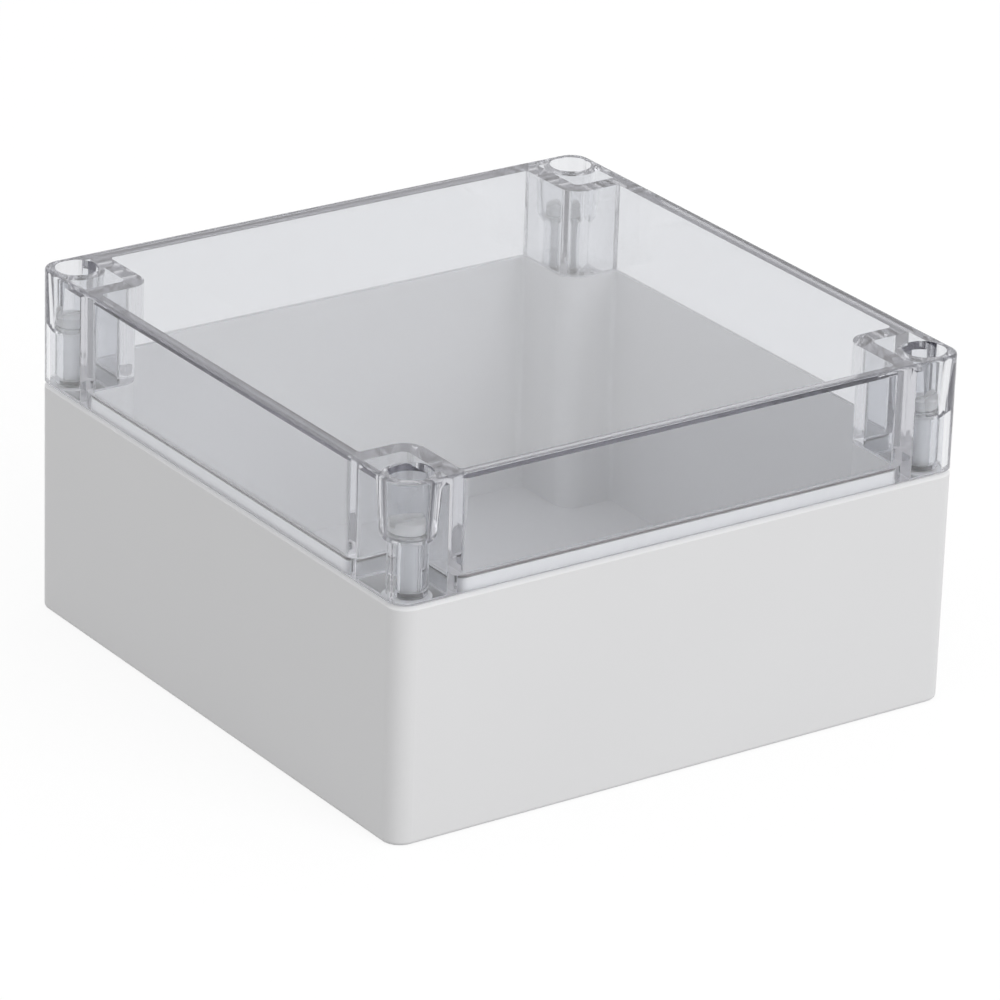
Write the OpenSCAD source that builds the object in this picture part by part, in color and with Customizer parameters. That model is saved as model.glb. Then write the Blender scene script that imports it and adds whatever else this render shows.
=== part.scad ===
// Outdoor enclosure: a grey base tub closed by a deep clear lid. A tongue on the tub, a rebate
// in the lid and a gasket between them run round the sealed room. Four corner bays lie outside
// that seal: each holds a lid screw and a wall-mounting hole. The front is at -Y.

/* [Enclosure] */
// Width across the front
box_w = 160; // [120:1:240]
// Depth from front to rear
box_d = 160; // [120:1:240]
// Height of the tub, from its foot to the parting line
base_h = 60; // [45:1:120]
// Height of the lid above the parting line
lid_h = 30; // [26:1:50]
// Radius of the upright outer corners
corner_r = 5; // [4:0.5:6]
// Rounding of the foot edge of the tub
foot_r = 1; // [0.5:0.1:1.5]
// Chamfer along the outer rim of the tub, under the parting line
rim_chamfer = 1; // [0.3:0.1:1.2]
// Rounding of the outer top edge of the lid
lid_edge_r = 0.8; // [0.4:0.1:1.2]
// Chamfer along the foot of the lid
lid_chamfer = 0.3; // [0.2:0.1:0.5]

/* [Walls] */
// Thickness of the tub's floor
floor_t = 3; // [2:0.5:5]
// Thickness of the lid's top plate
lid_top_t = 2.5; // [2:0.1:3.5]
// Thickness of the lid's walls and partitions above the rebate
lid_wall = 3.9; // [3.4:0.1:4.2]

/* [Parting line] */
// Thickness of the lid's skirt outside the tongue
skirt_t = 1.6; // [1.2:0.1:2]
// Play between the skirt and the tongue
tongue_play = 0.3; // [0.2:0.05:0.4]
// Thickness of the tongue
tongue_t = 1.8; // [1.5:0.1:2.4]
// Height of the tongue above the tub's rim
tongue_h = 3.4; // [2:0.1:4]
// Thickness of the gasket as it lies squeezed
gasket_t = 0.7; // [0.6:0.1:1.6]
// Gap that the squeezed gasket keeps open at the parting line
seam_gap = 0.2; // [0.1:0.05:0.3]

/* [Corner bays] */
// Distance from the side face to the partition
bay_w = 14.4; // [14:0.2:18]
// Distance from the front or rear face to the partition
bay_d = 19.8; // [19.6:0.2:24]
// Radius of the partition's nose, on its bay side
bay_nose_r = 1.6; // [1:0.1:3]
// Radius of the sealed room's corners beside the partitions, taken at the outer face
bay_fillet_r = 5; // [4.6:0.1:6]
// Outer wall of the tub beside a bay
bay_wall_base = 3; // [2.4:0.1:3.4]
// Outer wall of the lid beside a bay
bay_wall_lid = 2.2; // [1.8:0.1:2.6]
// How much narrower a bay is in the lid than in the tub, on its partition sides
bay_step_lid = 0.8; // [0:0.1:1.2]
// Thickness of the floor under a bay
bay_floor_t = 4; // [3:0.5:6]

/* [Lid screws] */
// Distance of each screw axis from both outer faces
screw_inset = 7; // [6.8:0.1:7.4]
// Thread diameter
screw_d = 4; // [3.5:0.5:4]
// Length under the head
screw_len = 25; // [22:1:28]
// How far the thread reaches below the parting line
screw_reach = 9.1; // [6:0.1:10]
// Head diameter
head_d = 7; // [6.5:0.1:7.6]
// Head height
head_h = 2.6; // [2:0.1:3]
// Width of the driver slot
slot_w = 1.2; // [0.8:0.1:1.4]
// Depth of the driver slot
slot_depth = 1.2; // [0.8:0.1:1.4]
// Diameter of the sealing washer
washer_d = 8; // [7.8:0.1:8.2]
// Thickness of the sealing washer
washer_t = 0.9; // [0.6:0.1:1.2]
// Outer diameter of the retaining ring
retainer_d = 5.8; // [5.4:0.1:6]
// Height of the retaining ring
retainer_t = 1.4; // [1:0.1:2]
// Radial running clearance of the thread in the inserts and rings
thread_play = 0.05; // [0.02:0.01:0.1]

/* [Screw pockets] */
// Diameter of a pocket at the top of the lid
pocket_d = 10.6; // [10:0.1:10.8]
// Diameter of a pocket at its floor
pocket_floor_d = 8.8; // [8.6:0.1:9.2]
// Wall of a pocket
pocket_wall = 1.5; // [1.2:0.1:1.5]
// Rounding under a pocket
pocket_round = 3; // [2:0.1:3.2]
// Diameter of the tube below a pocket
tube_d = 8; // [7.6:0.1:8.6]
// Chamfer round the foot of a tube
tube_chamfer = 0.5; // [0.2:0.1:0.6]
// Play of a screw in its tube
tube_play = 0.2; // [0.15:0.05:0.3]
// Gap between a tube's foot and the boss below it
tube_gap = 0.3; // [0.2:0.1:0.5]

/* [Inserts and mounting] */
// Diameter of the screw bosses in the tub
boss_d = 10; // [9:0.1:10.4]
// Outer diameter of the threaded inserts
insert_d = 5.6; // [5.4:0.1:6]
// Length of the threaded inserts
insert_len = 8; // [6:0.5:10]
// Depth of an insert below the top of its boss
insert_sink = 0.4; // [0.2:0.1:0.8]
// Depth of the grooves round an insert
insert_groove = 0.3; // [0.2:0.05:0.4]
// Radial clearance of the inserts and rings that are pressed in
press_play = 0.02; // [0.01:0.01:0.05]
// Room below a screw's tip
tip_room = 3; // [1:0.5:5]
// Diameter of the wall-mounting holes
mount_d = 4.5; // [4:0.1:5]
// Distance of a mounting hole from the side face
mount_inset_x = 9; // [8:0.5:10]
// Distance of a mounting hole from the front or rear face
mount_inset_y = 15.5; // [15:0.5:16]

/* [Hidden] */
$fn = 96;
// Overlap that makes cuts pass right through
cut = 1;

// Heights that both halves share
lid_foot_z = base_h + seam_gap;
lid_top_z = base_h + lid_h;
lid_under_z = lid_top_z - lid_top_t;
tongue_top_z = base_h + tongue_h;
gasket_z = tongue_top_z + seam_gap;
step_z = gasket_z + gasket_t;
tongue_out = skirt_t + tongue_play;
tongue_in = tongue_out + tongue_t;

// Heights along a screw, from its tip up to its head
tip_z = base_h - screw_reach;
head_z = tip_z + screw_len;
pocket_z = head_z - washer_t;
pocket_depth = lid_top_z - pocket_z;
tube_foot_z = base_h + tube_gap;
insert_z = base_h - insert_sink - insert_len;
thread_bore_d = screw_d + 2 * thread_play;
insert_hole_d = insert_d + 2 * press_play;
insert_hole_z = min(insert_z, tip_z) - tip_room;

// Names of the corners and the side of the centre that each lies on
CORNERS = [
    ["front_left", -1, -1],
    ["front_right", 1, -1],
    ["rear_left", -1, 1],
    ["rear_right", 1, 1]
];

// Puts a shape drawn in from an outer corner, along +X and +Y, into the given corner
module in_corner(c) {
    translate([c[1] * box_w / 2, c[2] * box_d / 2])
        mirror_sides(-c[1], -c[2])
            children();
}

// Mirrors a shape so that its +X and +Y sides point the given ways
module mirror_sides(side_x, side_y) {
    mirror([side_x < 0 ? 1 : 0, 0, 0])
        mirror([0, side_y < 0 ? 1 : 0, 0])
            children();
}

// Puts an upright piece on the screw axis of the given corner
module on_screw_axis(c) {
    translate([c[1] * (box_w / 2 - screw_inset), c[2] * (box_d / 2 - screw_inset)])
        children();
}

// Half section of a side: rounded at the foot, chamfered at the rim
module side_section(half, height, foot, rim) {
    polygon([
        [0, 0],
        [half - foot, 0],
        [half - foot, foot],
        [half, foot],
        [half, height - rim],
        [half - rim, height],
        [0, height]
    ]);
    translate([half - foot, foot])
        circle(foot);
}

// The section on both sides of the middle
module full_section(half, height, foot, rim) {
    side_section(half, height, foot, rim);
    mirror([1, 0])
        side_section(half, height, foot, rim);
}

// Block with the outline of the enclosure, rounded round its foot and chamfered round its rim
module soft_block(height, foot, rim) {
    rotate([90, 0, 90])
        linear_extrude(box_w - 2 * corner_r, center = true)
            full_section(box_d / 2, height, foot, rim);
    rotate([90, 0, 0])
        linear_extrude(box_d - 2 * corner_r, center = true)
            full_section(box_w / 2, height, foot, rim);
    for (x = [-1, 1], y = [-1, 1])
        translate([x * (box_w / 2 - corner_r), y * (box_d / 2 - corner_r)])
            rotate_extrude()
                side_section(corner_r, height, foot, rim);
}

// Rectangle from the corner at the origin, with its far corner rounded
module nosed_rectangle(w, d, r) {
    square([w - r, d]);
    square([w, d - r]);
    translate([w - r, d - r])
        circle(r);
}

// Fillet that fills the inner corner between two walls along +X and +Y
module corner_fillet(r) {
    difference() {
        translate([-cut, -cut])
            square([r + cut, r + cut]);
        translate([r, r])
            circle(r);
    }
}

// Plan of the sealed room at a depth t inside the outer face and the bays' partitions
module sealed_room(t) {
    w = bay_w + t;
    d = bay_d + t;
    fillet = bay_fillet_r - t;
    difference() {
        square([box_w - 2 * t, box_d - 2 * t], center = true);
        for (c = CORNERS)
            in_corner(c) {
                nosed_rectangle(w, d, bay_nose_r + t);
                translate([w, t])
                    corner_fillet(fillet);
                translate([t, d])
                    corner_fillet(fillet);
            }
    }
}

// Plan of the hollow of one bay behind outer walls of thickness t, drawn in by step from the partitions
module bay_hollow(t, step) {
    r = corner_r - t;
    w = bay_w - step - t;
    d = bay_d - step - t;
    translate([t, t])
        intersection() {
            nosed_rectangle(w, d, bay_nose_r);
            translate([w, d])
                rotate(180)
                    nosed_rectangle(w, d, r);
        }
}

// Grey tub: plain outside, with a tongue on its rim, corner bays, screw bosses and mounting holes
module base_tub() {
    color("#e2e2e3")
        difference() {
            union() {
                soft_block(base_h, foot_r, rim_chamfer);
                linear_extrude(tongue_top_z)
                    difference() {
                        sealed_room(tongue_out);
                        sealed_room(tongue_in);
                    }
            }
            translate([0, 0, floor_t])
                linear_extrude(tongue_top_z)
                    sealed_room(tongue_in);
            for (c = CORNERS)
                in_corner(c)
                    base_bay_cuts();
        }
}

// What is cut from the tub in one corner: the bay round its boss, and the two holes
module base_bay_cuts() {
    difference() {
        translate([0, 0, bay_floor_t])
            linear_extrude(base_h)
                bay_hollow(bay_wall_base, 0);
        translate([screw_inset, screw_inset])
            cylinder(h = base_h, d = boss_d);
    }
    translate([screw_inset, screw_inset, insert_hole_z])
        cylinder(h = base_h, d = insert_hole_d);
    translate([mount_inset_x, mount_inset_y, -cut])
        cylinder(h = bay_floor_t + 2 * cut, d = mount_d);
}

// Clear lid: a shell with a rebate for the tongue, partitions, screw pockets and tubes
module clear_lid() {
    color("#dfe3e8", 0.35)
        difference() {
            union() {
                difference() {
                    translate([0, 0, lid_top_z])
                        mirror([0, 0, 1])
                            soft_block(lid_top_z - lid_foot_z, lid_edge_r, lid_chamfer);
                    lid_hollows();
                }
                for (c = CORNERS)
                    on_screw_axis(c)
                        screw_pocket();
            }
            for (c = CORNERS)
                on_screw_axis(c)
                    screw_pocket_bores();
        }
}

// What is cut from the lid's block: the sealed room, its rebate and the four bays
module lid_hollows() {
    translate([0, 0, step_z])
        linear_extrude(lid_under_z - step_z)
            sealed_room(lid_wall);
    translate([0, 0, lid_foot_z - cut])
        linear_extrude(step_z - lid_foot_z + cut)
            sealed_room(skirt_t);
    for (c = CORNERS)
        in_corner(c)
            translate([0, 0, lid_foot_z - cut])
                linear_extrude(lid_under_z - lid_foot_z + cut)
                    bay_hollow(bay_wall_lid, bay_step_lid);
}

// Tapered cup with a rounded bottom, on a tube that reaches down to the boss
module screw_pocket() {
    top_r = pocket_d / 2 + pocket_wall;
    low_r = pocket_floor_d / 2 + pocket_wall;
    low_z = pocket_z - pocket_wall;
    rotate_extrude() {
        polygon([
            [0, low_z],
            [low_r - pocket_round, low_z],
            [low_r - pocket_round, low_z + pocket_round],
            [low_r, low_z + pocket_round],
            [top_r, lid_under_z],
            [0, lid_under_z]
        ]);
        translate([low_r - pocket_round, low_z + pocket_round])
            intersection() {
                circle(pocket_round);
                translate([0, -pocket_round])
                    square(pocket_round);
            }
    }
    translate([0, 0, tube_foot_z])
        cylinder(h = tube_chamfer, d1 = tube_d - 2 * tube_chamfer, d2 = tube_d);
    translate([0, 0, tube_foot_z + tube_chamfer])
        cylinder(h = pocket_z - tube_foot_z - tube_chamfer, d = tube_d);
}

// The pocket's taper, the screw's hole and the seat of the retaining ring
module screw_pocket_bores() {
    translate([0, 0, pocket_z])
        cylinder(h = pocket_depth, d1 = pocket_floor_d, d2 = pocket_d);
    translate([0, 0, tube_foot_z - cut])
        cylinder(h = pocket_z - tube_foot_z + 2 * cut, d = screw_d + 2 * tube_play);
    translate([0, 0, tube_foot_z - cut])
        cylinder(h = retainer_t + cut, d = retainer_d + 2 * press_play);
}

// Soft gasket between the tongue and the step of the lid's rebate
module lid_gasket() {
    color("#7b7678")
        translate([0, 0, gasket_z])
            linear_extrude(gasket_t)
                difference() {
                    sealed_room(tongue_out);
                    sealed_room(tongue_in);
                }
}

// Slotted screw with a cylindrical head
module lid_screw() {
    color("#dfe3e8", 0.6)
        difference() {
            union() {
                translate([0, 0, tip_z])
                    cylinder(h = screw_len, d = screw_d);
                translate([0, 0, head_z])
                    cylinder(h = head_h, d = head_d);
            }
            translate([-head_d, -slot_w / 2, head_z + head_h - slot_depth])
                cube([2 * head_d, slot_w, head_h]);
        }
}

// Flat upright ring from z up
module ring(z, height, outer_d, inner_d) {
    translate([0, 0, z])
        difference() {
            cylinder(h = height, d = outer_d);
            translate([0, 0, -cut])
                cylinder(h = height + 2 * cut, d = inner_d);
        }
}

// Sealing washer between a screw head and the pocket floor
module screw_washer() {
    color("#e6e7e6", 0.8)
        ring(pocket_z, washer_t, washer_d, thread_bore_d);
}

// Ring in the foot of a tube that keeps the loosened screw in the lid
module screw_retainer() {
    color("#2f3032")
        ring(tube_foot_z, retainer_t, retainer_d, thread_bore_d);
}

// Brass insert with two grooves that lock it in its boss
module threaded_insert() {
    groove_h = insert_len / 5;
    color("#b5904a")
        difference() {
            ring(insert_z, insert_len, insert_d, thread_bore_d);
            for (i = [1, 3])
                ring(insert_z + i * groove_h, groove_h, insert_d + cut, insert_d - 2 * insert_groove);
        }
}

base_tub();
clear_lid();
lid_gasket();
for (c = CORNERS) {
    on_screw_axis(c) lid_screw();
    on_screw_axis(c) screw_washer();
    on_screw_axis(c) screw_retainer();
    on_screw_axis(c) threaded_insert();
}
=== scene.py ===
"""Looks of the outdoor enclosure: a grey moulded tub, a clear lid and its small fittings."""

import math

import bmesh
import bpy
from mathutils import Matrix, Vector


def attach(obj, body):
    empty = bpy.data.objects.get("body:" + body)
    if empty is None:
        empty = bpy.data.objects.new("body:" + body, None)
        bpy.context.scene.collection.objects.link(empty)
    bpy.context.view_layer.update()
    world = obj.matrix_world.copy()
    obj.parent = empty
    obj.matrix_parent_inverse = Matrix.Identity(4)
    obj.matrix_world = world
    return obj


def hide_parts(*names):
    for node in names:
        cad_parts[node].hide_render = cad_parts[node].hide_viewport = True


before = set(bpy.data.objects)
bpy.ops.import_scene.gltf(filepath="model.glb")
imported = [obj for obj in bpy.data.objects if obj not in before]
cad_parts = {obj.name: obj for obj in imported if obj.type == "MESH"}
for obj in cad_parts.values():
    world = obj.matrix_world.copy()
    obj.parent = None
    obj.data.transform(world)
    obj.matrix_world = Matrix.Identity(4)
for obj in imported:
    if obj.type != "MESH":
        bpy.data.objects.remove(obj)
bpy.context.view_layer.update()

MM = 0.001

# Screw axes in mm, one in each corner
SCREW_AXES = {
    "front_left": (-73, -73),
    "front_right": (73, -73),
    "rear_left": (-73, 73),
    "rear_right": (73, 73),
}

# Heights and sizes of the round fittings in mm, as in the part's source
TIP_Z = 50.9
HEAD_Z = 75.9
HEAD_H = 2.6
HEAD_D = 7.0
SHANK_D = 4.0
SLOT_W = 1.2
SLOT_DEPTH = 1.2
BORE_D = 4.1
WASHER_Z = 75.0
WASHER_D = 8.0
WASHER_T = 0.9
RING_Z = 60.3
RING_D = 5.8
RING_T = 1.4
INSERT_Z = 51.6
INSERT_LEN = 8.0
INSERT_D = 5.6
GROOVE_D = 5.0

# Plan of the sealed room in mm, as in the part's source: its corner bays and their rounding
HALF_WIDTH = 80.0
BAY_W = 14.4
BAY_D = 19.8
NOSE_R = 1.6
FILLET_R = 5.0

# The tongue on the tub and the gasket on it in mm, inwards from the outer face and upwards
TONGUE_OUT = 1.9
TONGUE_IN = 3.7
TONGUE_Z = 63.4
GASKET_Z = 63.6
STEP_Z = 64.3

# Fine detail that the part's source leaves out, in mm
LIP_T = 0.8
LIP_SINK = 0.5
LIP_SOFT = 0.39
GASKET_SOFT = 0.15
WASHER_SOFT = 0.2
RING_SOFT = 0.25
HEAD_SOFT = 0.4
HEAD_CHAMFER = 0.1
TIP_CHAMFER = 0.5
INSERT_CHAMFER = 0.3
THREAD_PITCH = 0.7
THREAD_TOP_Z = 61.0
THREAD_DEPTH = 0.38
NUT_THREAD_DEPTH = 0.3
KNURLS = 24
KNURL_DEPTH = 0.18
INSERT_BANDS = 5

# A touching face is drawn back by this much in mm, so that clear faces never coincide
HAIR = 0.03

# How finely curves are drawn: steps in an arc or a thread's pitch, and segments round an axis
FILLET_STEPS = 8
NOSE_STEPS = 12
STRIP_EDGE_STEPS = 5
RING_EDGE_STEPS = 4
HEAD_EDGE_STEPS = 5
PITCH_STEPS = 8
SCREW_SEGMENTS = 48
RING_SEGMENTS = 64
INSERT_SEGMENTS = 96
SHARP_EDGE = math.radians(32)
WELD = 0.001 * MM

# Sizes of the surface patterns in mm. Mould grain, foam cells and tool rings are finer than this on
# the real pieces, and are drawn coarser so that they show
MOULD_GRAIN = 0.8
GRAIN_DEPTH = 0.05
TONE_CLOUD = 45
MELT_FLOW = 40
FLOW_DEPTH = 0.02
FROST_SPOT = 2.5
SILICONE_CLOUD = 1.5
FOAM_CELL = 0.6
CELL_DEPTH = 0.1
RUBBER_BLOOM = 0.9
TOOL_RING = 0.3

# The lid's level faces below this height in mm are eroded: the foot and the step of its rebate
ERODED_BELOW_Z = 66
LEVEL_NORMAL = 0.5
ERODED_ROUGHNESS = 0.6

POLYCARBONATE_IOR = 1.586

# Camera of the photograph: a long lens, a little off level
CAMERA_AT = Vector((-779.3, -1110.2, 622.3)) * MM
CAMERA_LOOKS_AT = Vector((1.0, -2.9, 40.8)) * MM
CAMERA_LENS_MM = 219.05
CAMERA_SENSOR_MM = 36
CAMERA_ROLL = math.radians(-1.887)
CAMERA_CLIP = (0.05, 50)

# Studio, in metres, watts and levels of white: how far the paper reaches, its own glow and how much
# of that the camera sees, the surround as light and as background, and the lamp
PAPER_REACH = 6
PAPER_GLOW = 1.52
PAPER_WASH = 0.55
SURROUND_LIGHT = 0.88
SURROUND_SEEN = 0.95
LAMP_AT = Vector((0.7, -2.4, 1.3))
LAMP_AIM = Vector((0, 0, 0.05))
LAMP_SIZE = 1.6
LAMP_WATTS = 25

# Light zigzags many times inside a clear wall that is seen along its length
LIGHT_BOUNCES = 80


def linear(hex_colour):
    """Linear RGBA of an sRGB colour written as #rrggbb."""
    channels = [int(hex_colour[i:i + 2], 16) / 255 for i in (1, 3, 5)]
    return [c / 12.92 if c <= 0.04045 else ((c + 0.055) / 1.055) ** 2.4 for c in channels] + [1]


def add(tree, kind, inputs=None, **settings):
    """Adds a node with its settings. Each input is a plain value or another node's output."""
    node = tree.nodes.new(kind)
    for name, value in settings.items():
        setattr(node, name, value)
    for key, value in (inputs or {}).items():
        if isinstance(value, bpy.types.NodeSocket):
            tree.links.new(value, node.inputs[key])
        else:
            node.inputs[key].default_value = value
    return node


def new_material(name):
    """An empty material and its node tree."""
    material = bpy.data.materials.new(name)
    material.use_nodes = True
    material.node_tree.nodes.clear()
    return material, material.node_tree


def moulded_grey_polycarbonate():
    """Light grey polycarbonate, injection moulded in a finely spark-eroded tool.

    To the eye: an even pale grey with a soft satin sheen and a grain that only shows close up.
    """
    material, tree = new_material("moulded_grey_polycarbonate")
    place = add(tree, "ShaderNodeTexCoord").outputs["Object"]
    grain = add(tree, "ShaderNodeTexNoise", {
        "Vector": place,
        "Scale": 1 / (MOULD_GRAIN * MM),
        "Detail": 2.0,
    })
    cloud = add(tree, "ShaderNodeTexNoise", {
        "Vector": place,
        "Scale": 1 / (TONE_CLOUD * MM),
        "Detail": 1.0,
    })
    tone = add(tree, "ShaderNodeMix", {
        "Factor": cloud.outputs["Fac"],
        "A": linear("#e2e2e3"),
        "B": linear("#e5e5e6"),
    }, data_type="RGBA")
    sheen = add(tree, "ShaderNodeMapRange", {
        "Value": grain.outputs["Fac"],
        "To Min": 0.4,
        "To Max": 0.52,
    })
    relief = add(tree, "ShaderNodeBump", {
        "Height": grain.outputs["Fac"],
        "Strength": 0.08,
        "Distance": GRAIN_DEPTH * MM,
    })
    plastic = add(tree, "ShaderNodeBsdfPrincipled", {
        "Base Color": tone.outputs["Result"],
        "Roughness": sheen.outputs["Result"],
        "IOR": POLYCARBONATE_IOR,
        "Normal": relief.outputs["Normal"],
    })
    add(tree, "ShaderNodeOutputMaterial", {"Surface": plastic.outputs[0]})
    return material


def polished_clear_polycarbonate():
    """Clear polycarbonate, injection moulded in a polished tool.

    To the eye: nearly colourless, a cool grey where a wall is seen along its length, and sharp
    reflections that bend a little where the melt flowed. The foot and the step of the rebate are
    eroded, not polished, so a wall seen along its length ends in an even grey.
    """
    material, tree = new_material("polished_clear_polycarbonate")
    place = add(tree, "ShaderNodeTexCoord").outputs["Object"]
    flow = add(tree, "ShaderNodeTexNoise", {
        "Vector": place,
        "Scale": 1 / (MELT_FLOW * MM),
        "Detail": 1.0,
    })
    polish = add(tree, "ShaderNodeMapRange", {
        "Value": flow.outputs["Fac"],
        "To Min": 0.012,
        "To Max": 0.03,
    })
    height = add(tree, "ShaderNodeSeparateXYZ", {0: place}).outputs["Z"]
    low = add(tree, "ShaderNodeMath", {
        0: height,
        1: ERODED_BELOW_Z * MM,
    }, operation="LESS_THAN")
    # A ray inside the plastic meets a face with its normal turned round, so the sign is dropped
    facing = add(tree, "ShaderNodeTexCoord").outputs["Normal"]
    facing = add(tree, "ShaderNodeSeparateXYZ", {0: facing}).outputs["Z"]
    tilt = add(tree, "ShaderNodeMath", {0: facing}, operation="ABSOLUTE")
    level = add(tree, "ShaderNodeMath", {
        0: tilt.outputs[0],
        1: LEVEL_NORMAL,
    }, operation="GREATER_THAN")
    eroded = add(tree, "ShaderNodeMath", {
        0: low.outputs[0],
        1: level.outputs[0],
    }, operation="MULTIPLY")
    finish = add(tree, "ShaderNodeMix", {
        "Factor": eroded.outputs[0],
        "A": polish.outputs["Result"],
        "B": ERODED_ROUGHNESS,
    })
    waves = add(tree, "ShaderNodeBump", {
        "Height": flow.outputs["Fac"],
        "Strength": 0.5,
        "Distance": FLOW_DEPTH * MM,
    })
    plastic = add(tree, "ShaderNodeBsdfPrincipled", {
        "Base Color": linear("#f1f2f4"),
        "Roughness": finish.outputs["Result"],
        "IOR": POLYCARBONATE_IOR,
        "Normal": waves.outputs["Normal"],
        "Transmission Weight": 1.0,
    })
    depth = add(tree, "ShaderNodeVolumeAbsorption", {"Color": linear("#bab9c1"), "Density": 18.0})
    add(tree, "ShaderNodeOutputMaterial", {
        "Surface": plastic.outputs[0],
        "Volume": depth.outputs[0],
    })
    return material


def eroded_clear_polycarbonate():
    """The lid's own plastic in a small moulding, from a spark-eroded tool.

    To the eye: frosted, a pale soft shape that light comes through, uneven from spot to spot.
    """
    material, tree = new_material("eroded_clear_polycarbonate")
    place = add(tree, "ShaderNodeTexCoord").outputs["Object"]
    spots = add(tree, "ShaderNodeTexNoise", {
        "Vector": place,
        "Scale": 1 / (FROST_SPOT * MM),
        "Detail": 2.0,
    })
    polish = add(tree, "ShaderNodeMapRange", {
        "Value": spots.outputs["Fac"],
        "To Min": 0.4,
        "To Max": 0.55,
    })
    plastic = add(tree, "ShaderNodeBsdfPrincipled", {
        "Base Color": linear("#f6f6f6"),
        "Roughness": polish.outputs["Result"],
        "IOR": POLYCARBONATE_IOR,
        "Transmission Weight": 0.6,
    })
    add(tree, "ShaderNodeOutputMaterial", {"Surface": plastic.outputs[0]})
    return material


def translucent_silicone():
    """Natural silicone rubber, press moulded.

    To the eye: milky and soft, with faint clouds; light comes through it.
    """
    material, tree = new_material("translucent_silicone")
    place = add(tree, "ShaderNodeTexCoord").outputs["Object"]
    cloud = add(tree, "ShaderNodeTexNoise", {
        "Vector": place,
        "Scale": 1 / (SILICONE_CLOUD * MM),
        "Detail": 2.0,
    })
    tone = add(tree, "ShaderNodeMix", {
        "Factor": cloud.outputs["Fac"],
        "A": linear("#f1f2f2"),
        "B": linear("#fafafa"),
    }, data_type="RGBA")
    sheen = add(tree, "ShaderNodeMapRange", {
        "Value": cloud.outputs["Fac"],
        "To Min": 0.18,
        "To Max": 0.3,
    })
    rubber = add(tree, "ShaderNodeBsdfPrincipled", {
        "Base Color": tone.outputs["Result"],
        "Roughness": sheen.outputs["Result"],
        "IOR": 1.41,
        "Transmission Weight": 0.9,
    })
    add(tree, "ShaderNodeOutputMaterial", {"Surface": rubber.outputs[0]})
    return material


def foamed_polyurethane():
    """Grey polyurethane sealing foam, laid into the rebate as a bead.

    To the eye: a matt grey strip with the small closed cells of a foam's skin.
    """
    material, tree = new_material("foamed_polyurethane")
    place = add(tree, "ShaderNodeTexCoord").outputs["Object"]
    cells = add(tree, "ShaderNodeTexVoronoi", {"Vector": place, "Scale": 1 / (FOAM_CELL * MM)})
    tone = add(tree, "ShaderNodeMix", {
        "Factor": cells.outputs["Distance"],
        "A": linear("#7f7a7c"),
        "B": linear("#767173"),
    }, data_type="RGBA")
    relief = add(tree, "ShaderNodeBump", {
        "Height": cells.outputs["Distance"],
        "Strength": 0.4,
        "Distance": CELL_DEPTH * MM,
    })
    foam = add(tree, "ShaderNodeBsdfPrincipled", {
        "Base Color": tone.outputs["Result"],
        "Roughness": 0.8,
        "IOR": 1.5,
        "Normal": relief.outputs["Normal"],
    })
    add(tree, "ShaderNodeOutputMaterial", {"Surface": foam.outputs[0]})
    return material


def black_rubber():
    """Black nitrile rubber, press moulded.

    To the eye: a soft black with a faint grey bloom.
    """
    material, tree = new_material("black_rubber")
    place = add(tree, "ShaderNodeTexCoord").outputs["Object"]
    bloom = add(tree, "ShaderNodeTexNoise", {
        "Vector": place,
        "Scale": 1 / (RUBBER_BLOOM * MM),
        "Detail": 3.0,
    })
    tone = add(tree, "ShaderNodeMix", {
        "Factor": bloom.outputs["Fac"],
        "A": linear("#28292b"),
        "B": linear("#313234"),
    }, data_type="RGBA")
    sheen = add(tree, "ShaderNodeMapRange", {
        "Value": bloom.outputs["Fac"],
        "To Min": 0.52,
        "To Max": 0.68,
    })
    rubber = add(tree, "ShaderNodeBsdfPrincipled", {
        "Base Color": tone.outputs["Result"],
        "Roughness": sheen.outputs["Result"],
        "IOR": 1.5,
    })
    add(tree, "ShaderNodeOutputMaterial", {"Surface": rubber.outputs[0]})
    return material


def turned_brass():
    """Free-cutting brass, turned.

    To the eye: a warm yellow metal with fine tool rings.
    """
    material, tree = new_material("turned_brass")
    place = add(tree, "ShaderNodeTexCoord").outputs["Object"]
    rings = add(tree, "ShaderNodeTexWave", {
        "Vector": place,
        "Scale": 1 / (TOOL_RING * MM),
        "Distortion": 0.4,
    }, bands_direction="Z")
    sheen = add(tree, "ShaderNodeMapRange", {
        "Value": rings.outputs["Fac"],
        "To Min": 0.22,
        "To Max": 0.36,
    })
    metal = add(tree, "ShaderNodeBsdfPrincipled", {
        "Base Color": linear("#c9a45c"),
        "Metallic": 1.0,
        "Roughness": sheen.outputs["Result"],
    })
    add(tree, "ShaderNodeOutputMaterial", {"Surface": metal.outputs[0]})
    return material


def arc(centre, radius, start, end, count):
    """Points of an arc, with its angles in degrees from the first axis."""
    angles = [math.radians(start + (end - start) * i / count) for i in range(count + 1)]
    return [(centre[0] + radius * math.cos(a), centre[1] + radius * math.sin(a)) for a in angles]


def steps(low, high, step):
    """Even heights from low to high, at most a step apart."""
    count = max(1, math.ceil((high - low) / step))
    return [low + (high - low) * i / count for i in range(count + 1)]


def room_outline(inset):
    """Points in mm round the plan of the sealed room, at a distance from the outer face."""
    w, d = BAY_W + inset, BAY_D + inset
    nose, fillet = NOSE_R + inset, FILLET_R - inset
    corner = arc((inset + fillet, d + fillet), fillet, 180, 270, FILLET_STEPS)
    corner += arc((w - nose, d - nose), nose, 90, 0, NOSE_STEPS)
    corner += arc((w + fillet, inset + fillet), fillet, 180, 270, FILLET_STEPS)
    points = []
    for x, y in ((-1, -1), (1, -1), (1, 1), (-1, 1)):
        run = corner if x == y else reversed(corner)
        points += [(x * (HALF_WIDTH - u), y * (HALF_WIDTH - v)) for u, v in run]
    return points


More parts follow.
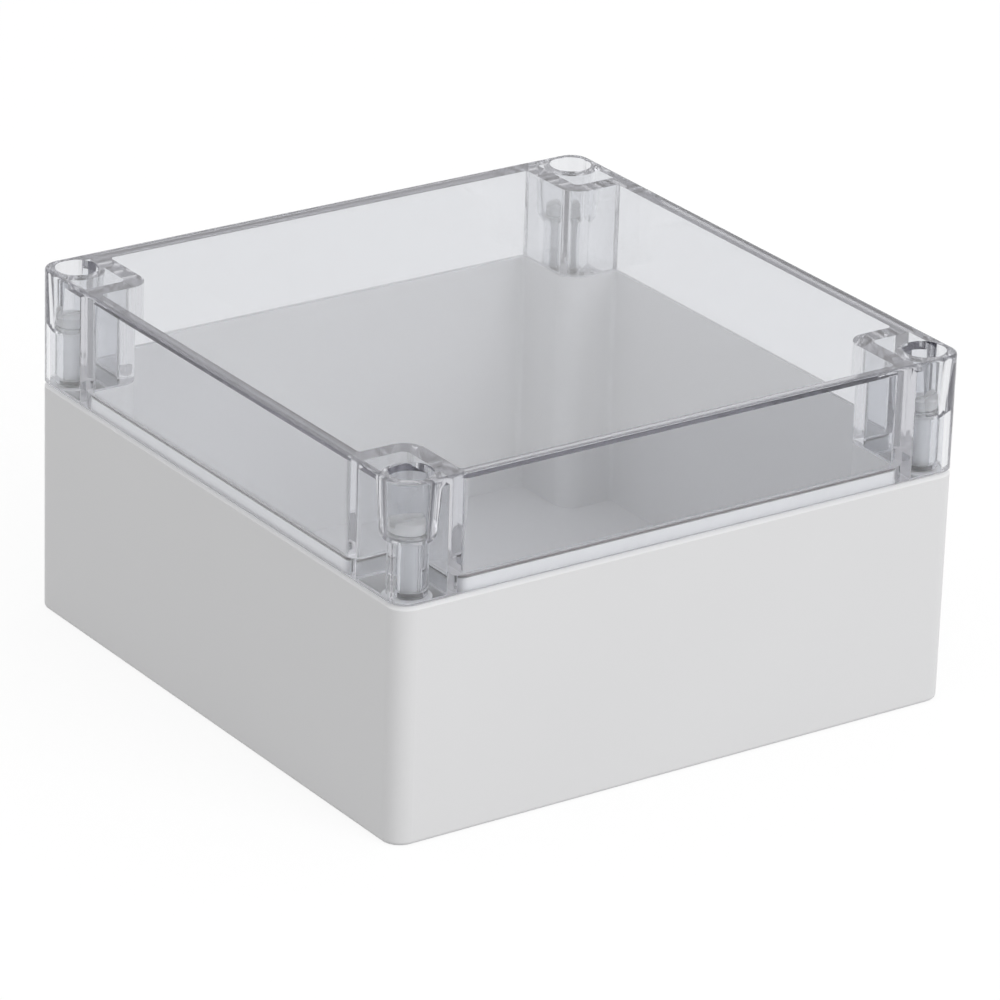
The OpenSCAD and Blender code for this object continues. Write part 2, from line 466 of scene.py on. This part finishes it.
def ring_section(inner_r, outer_r, low, high, soft):
    """Closed half section of a ring with soft edges."""
    inner, outer, bottom, top = inner_r + soft, outer_r - soft, low + soft, high - soft
    points = arc((outer, bottom), soft, -90, 0, RING_EDGE_STEPS)
    points += arc((outer, top), soft, 0, 90, RING_EDGE_STEPS)
    points += arc((inner, top), soft, 90, 180, RING_EDGE_STEPS)
    points += arc((inner, bottom), soft, 180, 270, RING_EDGE_STEPS)
    return points + points[:1]


def threaded(radius, low, high, depth):
    """Points up a thread that runs out over one pitch at both ends."""
    points = []
    for z in steps(low, high, THREAD_PITCH / PITCH_STEPS):
        whole = min(1, (z - low) / THREAD_PITCH, (high - z) / THREAD_PITCH)
        points.append((radius, z, depth * whole, 0))
    return points


def screw_section():
    """Half section of a lid screw, from the middle of its tip up to the middle of its head."""
    r, head_r, top = SHANK_D / 2, HEAD_D / 2, HEAD_Z + HEAD_H
    points = [(0, TIP_Z), (r - TIP_CHAMFER, TIP_Z)]
    points += threaded(r, TIP_Z + TIP_CHAMFER, THREAD_TOP_Z, -THREAD_DEPTH)
    points += [(r, HEAD_Z - HAIR), (head_r - HEAD_CHAMFER, HEAD_Z - HAIR)]
    points += [(head_r, HEAD_Z + HEAD_CHAMFER)]
    points += arc((head_r - HEAD_SOFT, top - HEAD_SOFT), HEAD_SOFT, 0, 90, HEAD_EDGE_STEPS)
    return points + [(0, top)]


def insert_section():
    """Closed half section of a brass insert: a chamfered, threaded bore and two grooves outside."""
    bore_r, outer_r, groove_r = BORE_D / 2, INSERT_D / 2, GROOVE_D / 2
    top = INSERT_Z + INSERT_LEN
    band = INSERT_LEN / INSERT_BANDS
    points = [(bore_r + INSERT_CHAMFER, INSERT_Z)]
    for i in range(INSERT_BANDS):
        reach, knurl = (outer_r, -KNURL_DEPTH) if i % 2 == 0 else (groove_r, 0)
        low = INSERT_Z + i * band
        high = INSERT_Z + (i + 1) * band
        points += [(reach, z, 0, knurl) for z in steps(low, high, band / 2)]
    points += [(bore_r + INSERT_CHAMFER, top)]
    low, high = INSERT_Z + INSERT_CHAMFER, top - INSERT_CHAMFER
    points += reversed(threaded(bore_r, low, high, NUT_THREAD_DEPTH))
    return points + points[:1]


def new_tree(name, inputs):
    """An empty tree with named inputs and one output, the piece. Its inputs come with it."""
    tree = bpy.data.node_groups.new(name, "GeometryNodeTree")
    for label, kind in inputs.items():
        tree.interface.new_socket(label, in_out="INPUT", socket_type=f"NodeSocket{kind}")
    tree.interface.new_socket("Piece", in_out="OUTPUT", socket_type="NodeSocketGeometry")
    return tree, add(tree, "NodeGroupInput").outputs


def end_tree(tree, shape, material):
    """Ends a tree with real geometry in its material."""
    whole = add(tree, "GeometryNodeRealizeInstances", {"Geometry": shape})
    dressed = add(tree, "GeometryNodeSetMaterial", {
        "Geometry": whole.outputs[0],
        "Material": material,
    })
    add(tree, "NodeGroupOutput", {"Piece": dressed.outputs[0]})


def rim_strip_tree():
    """Runs a rounded bar along a closed path."""
    tree, given = new_tree("rim_strip", {
        "Path": "Geometry",
        "Width": "Float",
        "Height": "Float",
        "Soft Edge": "Float",
        "Material": "Material",
    })
    section = add(tree, "GeometryNodeCurvePrimitiveQuadrilateral", {
        "Width": given["Width"],
        "Height": given["Height"],
    })
    section = add(tree, "GeometryNodeFilletCurve", {
        "Curve": section.outputs[0],
        "Radius": given["Soft Edge"],
        "Count": STRIP_EDGE_STEPS,
    }, mode="POLY")
    path = add(tree, "GeometryNodeMeshToCurve", {"Mesh": given["Path"]})
    level = add(tree, "GeometryNodeSetCurveNormal", {"Curve": path.outputs[0]}, mode="Z_UP")
    swept = add(tree, "GeometryNodeCurveToMesh", {
        "Curve": level.outputs[0],
        "Profile Curve": section.outputs[0],
    })
    end_tree(tree, swept.outputs[0], given["Material"])
    return tree


def round_fitting_tree():
    """Turns a half section into a round piece with thread and knurl, and cuts its driver slot."""
    tree, given = new_tree("round_fitting", {
        "Section": "Geometry",
        "Axis": "Vector",
        "Segments": "Int",
        "Pitch": "Float",
        "Knurls": "Float",
        "Slot Size": "Vector",
        "Slot Height": "Float",
        "Material": "Material",
    })

    # A sheet with one row for each point of the section, and one whole turn along its X
    rows = add(tree, "GeometryNodeAttributeDomainSize", {"Geometry": given["Section"]})
    rows = rows.outputs["Point Count"]
    columns = add(tree, "ShaderNodeMath", {0: given["Segments"], 1: 1.0}, operation="ADD")
    sheet = add(tree, "GeometryNodeMeshGrid", {
        "Size X": 1.0,
        "Vertices X": columns.outputs[0],
        "Vertices Y": rows,
    })
    place = add(tree, "GeometryNodeInputPosition").outputs[0]
    turn = add(tree, "ShaderNodeSeparateXYZ", {0: place}).outputs["X"]
    index = add(tree, "GeometryNodeInputIndex").outputs[0]
    row = add(tree, "ShaderNodeMath", {0: index, 1: rows}, operation="FLOORED_MODULO").outputs[0]

    # What the section holds in that row: radius and height, and how far the cuts move the radius
    point = add(tree, "GeometryNodeSampleIndex", {
        "Geometry": given["Section"],
        "Value": place,
        "Index": row,
    }, data_type="FLOAT_VECTOR")
    point = add(tree, "ShaderNodeSeparateXYZ", {0: point.outputs["Value"]}).outputs
    cuts = add(tree, "GeometryNodeInputNamedAttribute", {"Name": "cuts"}, data_type="FLOAT_VECTOR")
    cut = add(tree, "GeometryNodeSampleIndex", {
        "Geometry": given["Section"],
        "Value": cuts.outputs["Attribute"],
        "Index": row,
    }, data_type="FLOAT_VECTOR")
    cut = add(tree, "ShaderNodeSeparateXYZ", {0: cut.outputs["Value"]}).outputs

    # The thread is a wave between 0 and a half that climbs one pitch a turn
    crest = 0.5
    lead = add(tree, "ShaderNodeMath", {0: point["Z"], 1: given["Pitch"]}, operation="DIVIDE")
    lead = add(tree, "ShaderNodeMath", {0: lead.outputs[0], 1: turn}, operation="SUBTRACT")
    flank = add(tree, "ShaderNodeMath", {0: lead.outputs[0], 1: crest}, operation="PINGPONG")
    radius = add(tree, "ShaderNodeMath", {
        0: flank.outputs[0],
        1: cut["X"],
        2: point["X"],
    }, operation="MULTIPLY_ADD")

    # The knurl is the same wave round the axis
    tooth = add(tree, "ShaderNodeMath", {0: turn, 1: given["Knurls"]}, operation="MULTIPLY")
    tooth = add(tree, "ShaderNodeMath", {0: tooth.outputs[0], 1: crest}, operation="PINGPONG")
    radius = add(tree, "ShaderNodeMath", {
        0: tooth.outputs[0],
        1: cut["Y"],
        2: radius.outputs[0],
    }, operation="MULTIPLY_ADD")

    # Every row is spun round the axis, and the sheet's two ends meet
    angle = add(tree, "ShaderNodeMath", {0: turn, 1: math.tau}, operation="MULTIPLY")
    flat = add(tree, "ShaderNodeCombineXYZ", {"X": radius.outputs[0], "Z": point["Z"]})
    spun = add(tree, "ShaderNodeVectorRotate", {
        "Vector": flat.outputs[0],
        "Angle": angle.outputs[0],
    }, rotation_type="Z_AXIS")
    body = add(tree, "GeometryNodeSetPosition", {
        "Geometry": sheet.outputs["Mesh"],
        "Position": spun.outputs[0],
    })
    body = add(tree, "GeometryNodeMergeByDistance", {"Geometry": body.outputs[0], "Distance": WELD})

    # The slot is a bar taken out of the head, where the piece has one
    bar = add(tree, "GeometryNodeMeshCube", {"Size": given["Slot Size"]})
    level = add(tree, "ShaderNodeCombineXYZ", {"Z": given["Slot Height"]})
    bar = add(tree, "GeometryNodeTransform", {
        "Geometry": bar.outputs["Mesh"],
        "Translation": level.outputs[0],
    })
    slotted = add(tree, "GeometryNodeMeshBoolean", {
        "Mesh 1": body.outputs[0],
        "Mesh 2": bar.outputs[0],
    }, operation="DIFFERENCE", solver="EXACT")
    wanted = add(tree, "ShaderNodeMath", {
        0: given["Slot Height"],
        1: 0.0,
    }, operation="GREATER_THAN")
    chosen = add(tree, "GeometryNodeSwitch", {
        "Switch": wanted.outputs[0],
        "False": body.outputs[0],
        "True": slotted.outputs["Mesh"],
    }, input_type="GEOMETRY")

    moved = add(tree, "GeometryNodeTransform", {
        "Geometry": chosen.outputs[0],
        "Translation": given["Axis"],
    })
    end_tree(tree, moved.outputs[0], given["Material"])
    return tree


def made_by(tree, outline, settings):
    """A plain mesh of what a tree makes from an outline and its settings."""
    maker = bpy.data.objects.new("outline", outline)
    bpy.context.scene.collection.objects.link(maker)
    modifier = maker.modifiers.new("maker", "NODES")
    modifier.node_group = tree
    sockets = {s.name: s.identifier for s in tree.interface.items_tree if s.in_out == "INPUT"}
    for name, value in settings.items():
        modifier[sockets[name]] = value
    seen = maker.evaluated_get(bpy.context.evaluated_depsgraph_get())
    mesh = bpy.data.meshes.new_from_object(seen)
    maker.modifiers.remove(modifier)
    bpy.data.objects.remove(maker)
    bpy.data.meshes.remove(outline)
    shape = bmesh.new()
    shape.from_mesh(mesh)
    bmesh.ops.recalc_face_normals(shape, faces=shape.faces)
    shape.to_mesh(mesh)
    shape.free()
    mesh.shade_smooth()
    mesh.set_sharp_from_angle(angle=SHARP_EDGE)
    return mesh


def rim_strip(tree, near, far, low, high, soft, material):
    """A bar round the sealed room, between two depths from the outer face and two heights in mm."""
    points = room_outline((near + far) / 2)
    level = (low + high) / 2
    path = bpy.data.meshes.new("path")
    path.from_pydata(
        [(x * MM, y * MM, level * MM) for x, y in points],
        [(i, (i + 1) % len(points)) for i in range(len(points))],
        [],
    )
    return made_by(tree, path, {
        "Width": (far - near) * MM,
        "Height": (high - low) * MM,
        "Soft Edge": soft * MM,
        "Material": material,
    })


def round_fitting(tree, section, settings):
    """A plain mesh of the tree's round piece.

    A point of the section is (radius, height) in mm; where it is threaded or knurled, how far the
    thread and the knurl move the radius at their deepest follow.
    """
    points = [(point + (0, 0))[:4] for point in section]
    outline = bpy.data.meshes.new("section")
    outline.from_pydata(
        [(r * MM, 0, z * MM) for r, z, _, _ in points],
        [(i, i + 1) for i in range(len(points) - 1)],
        [],
    )
    # Doubled, because the tree's waves rise to a half
    cuts = outline.attributes.new("cuts", "FLOAT_VECTOR", "POINT")
    for i, (_, _, thread, knurl) in enumerate(points):
        cuts.data[i].vector = (2 * thread * MM, 2 * knurl * MM, 0)
    return made_by(tree, outline, settings)


def dress(mesh, material):
    """Gives a mesh its one material, without the empty slot that a tree's grid brings along."""
    mesh.materials.clear()
    mesh.materials.append(material)


def place_piece(name, mesh, material, body, node=None):
    """Makes a mesh a piece of the model: its material and body, and hides the node it replaces."""
    mesh.name = name
    dress(mesh, material)
    piece = bpy.data.objects.new(name, mesh)
    bpy.context.scene.collection.objects.link(piece)
    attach(piece, body)
    if node:
        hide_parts(node)


def photo_camera():
    """The camera at the photograph's viewing angle."""
    ahead = (CAMERA_LOOKS_AT - CAMERA_AT).normalized()
    right = ahead.cross(Vector((0, 0, 1))).normalized()
    down = ahead.cross(right)
    c, s = math.cos(CAMERA_ROLL), math.sin(CAMERA_ROLL)
    right, down = c * right + s * down, c * down - s * right
    data = bpy.data.cameras.new("photo_camera")
    data.sensor_width = CAMERA_SENSOR_MM
    data.lens = CAMERA_LENS_MM
    data.clip_start, data.clip_end = CAMERA_CLIP
    camera = bpy.data.objects.new("photo_camera", data)
    turn = Matrix((right, -down, -ahead)).transposed().to_4x4()
    camera.matrix_world = Matrix.Translation(CAMERA_AT) @ turn
    bpy.context.scene.collection.objects.link(camera)
    bpy.context.scene.camera = camera


def seen_directly(tree):
    """1 for what the camera sees, straight, in a reflection or through the lid, otherwise 0."""
    path = add(tree, "ShaderNodeLightPath").outputs
    seen = add(tree, "ShaderNodeMath", {
        0: path["Is Camera Ray"],
        1: path["Is Glossy Ray"],
    }, operation="MAXIMUM")
    seen = add(tree, "ShaderNodeMath", {
        0: seen.outputs[0],
        1: path["Is Transmission Ray"],
    }, operation="MAXIMUM")
    return seen.outputs[0]


def studio_floor():
    """A pale floor that stays white to the camera and keeps the object's soft shadow."""
    far = PAPER_REACH
    mesh = bpy.data.meshes.new("studio_floor")
    mesh.from_pydata(
        [(-far, -far, 0), (far, -far, 0), (far, far, 0), (-far, far, 0)],
        [],
        [(0, 1, 2, 3)],
    )
    floor = bpy.data.objects.new("studio_floor", mesh)
    bpy.context.scene.collection.objects.link(floor)
    material, tree = new_material("white_paper_sweep")
    paper = add(tree, "ShaderNodeBsdfDiffuse", {"Color": linear("#a6a6a6")})
    white = add(tree, "ShaderNodeEmission", {"Strength": PAPER_GLOW})
    washed = add(tree, "ShaderNodeMixShader", {
        0: PAPER_WASH,
        1: paper.outputs[0],
        2: white.outputs[0],
    })
    sweep = add(tree, "ShaderNodeMixShader", {
        0: seen_directly(tree),
        1: paper.outputs[0],
        2: washed.outputs[0],
    })
    add(tree, "ShaderNodeOutputMaterial", {"Surface": sweep.outputs[0]})
    mesh.materials.append(material)


def studio_world():
    """White to the camera, and a softer even surround that lights the enclosure."""
    world = bpy.data.worlds.new("white_studio")
    world.use_nodes = True
    tree = world.node_tree
    tree.nodes.clear()
    # A ray that has met one matt surface or more gets the softer level, also through the lid
    met = add(tree, "ShaderNodeLightPath").outputs["Diffuse Depth"]
    fresh = add(tree, "ShaderNodeMath", {0: met, 1: 0.5}, operation="LESS_THAN")
    white = add(tree, "ShaderNodeMath", {
        0: seen_directly(tree),
        1: fresh.outputs[0],
    }, operation="MULTIPLY")
    level = add(tree, "ShaderNodeMix", {
        "Factor": white.outputs[0],
        "A": SURROUND_LIGHT,
        "B": SURROUND_SEEN,
    })
    back = add(tree, "ShaderNodeBackground", {
        "Color": (1, 1, 1, 1),
        "Strength": level.outputs["Result"],
    })
    add(tree, "ShaderNodeOutputWorld", {"Surface": back.outputs[0]})
    bpy.context.scene.world = world


def key_soft_box():
    """A square area lamp that faces the enclosure and doesn't mirror in its polished lid."""
    data = bpy.data.lights.new("key_soft_box", "AREA")
    data.size = LAMP_SIZE
    data.energy = LAMP_WATTS
    lamp = bpy.data.objects.new("key_soft_box", data)
    lamp.visible_glossy = False
    lamp.location = LAMP_AT
    lamp.rotation_mode = "QUATERNION"
    lamp.rotation_quaternion = (LAMP_AIM - LAMP_AT).to_track_quat("-Z", "Y")
    bpy.context.scene.collection.objects.link(lamp)


tub_plastic = moulded_grey_polycarbonate()
lid_plastic = polished_clear_polycarbonate()
screw_plastic = eroded_clear_polycarbonate()
washer_silicone = translucent_silicone()
gasket_foam = foamed_polyurethane()
ring_rubber = black_rubber()
brass = turned_brass()

dress(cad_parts["base_tub"].data, tub_plastic)
dress(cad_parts["clear_lid"].data, lid_plastic)

# The lip stands on the tongue's inner edge, and the gasket fills the rebate outside it
strip = rim_strip_tree()
lip = rim_strip(
    strip, TONGUE_IN - LIP_T, TONGUE_IN - HAIR,
    TONGUE_Z - LIP_SINK, STEP_Z - HAIR, LIP_SOFT, tub_plastic,
)
place_piece("tongue_lip", lip, tub_plastic, "base")
gasket = rim_strip(
    strip, TONGUE_OUT, TONGUE_IN - LIP_T - HAIR,
    GASKET_Z, STEP_Z - HAIR, GASKET_SOFT, gasket_foam,
)
place_piece("foam_gasket", gasket, gasket_foam, "lid", "lid_gasket")

turned = round_fitting_tree()
washer_section = ring_section(
    BORE_D / 2, WASHER_D / 2,
    WASHER_Z + HAIR, WASHER_Z + WASHER_T - HAIR, WASHER_SOFT,
)
keeper_section = ring_section(
    BORE_D / 2, RING_D / 2,
    RING_Z, RING_Z + RING_T - HAIR, RING_SOFT,
)
for corner, (x, y) in SCREW_AXES.items():
    shared = {"Axis": (x * MM, y * MM, 0.0), "Pitch": THREAD_PITCH * MM}
    screw = round_fitting(turned, screw_section(), shared | {
        "Segments": SCREW_SEGMENTS,
        "Slot Size": (2 * HEAD_D * MM, SLOT_W * MM, 2 * SLOT_DEPTH * MM),
        "Slot Height": (HEAD_Z + HEAD_H) * MM,
        "Material": screw_plastic,
    })
    place_piece(
        f"clear_screw_{corner}", screw, screw_plastic,
        f"screw_{corner}", f"lid_screw_{corner}",
    )
    washer = round_fitting(turned, washer_section, shared | {
        "Segments": RING_SEGMENTS,
        "Material": washer_silicone,
    })
    place_piece(
        f"seal_washer_{corner}", washer, washer_silicone,
        f"washer_{corner}", f"screw_washer_{corner}",
    )
    keeper = round_fitting(turned, keeper_section, shared | {
        "Segments": RING_SEGMENTS,
        "Material": ring_rubber,
    })
    place_piece(
        f"keeper_ring_{corner}", keeper, ring_rubber,
        "lid", f"screw_retainer_{corner}",
    )
    insert = round_fitting(turned, insert_section(), shared | {
        "Segments": INSERT_SEGMENTS,
        "Knurls": float(KNURLS),
        "Material": brass,
    })
    place_piece(
        f"brass_insert_{corner}", insert, brass,
        "base", f"threaded_insert_{corner}",
    )

photo_camera()
studio_floor()
studio_world()
key_soft_box()
bpy.context.scene.view_settings.view_transform = "Standard"

bpy.context.scene.cycles.max_bounces = LIGHT_BOUNCES
bpy.context.scene.cycles.transmission_bounces = LIGHT_BOUNCES
bpy.context.scene.cycles.glossy_bounces = LIGHT_BOUNCES

# Light that reaches the inside through the polished lid isn't blurred or lost on its way
bpy.context.scene.cycles.blur_glossy = 0.0
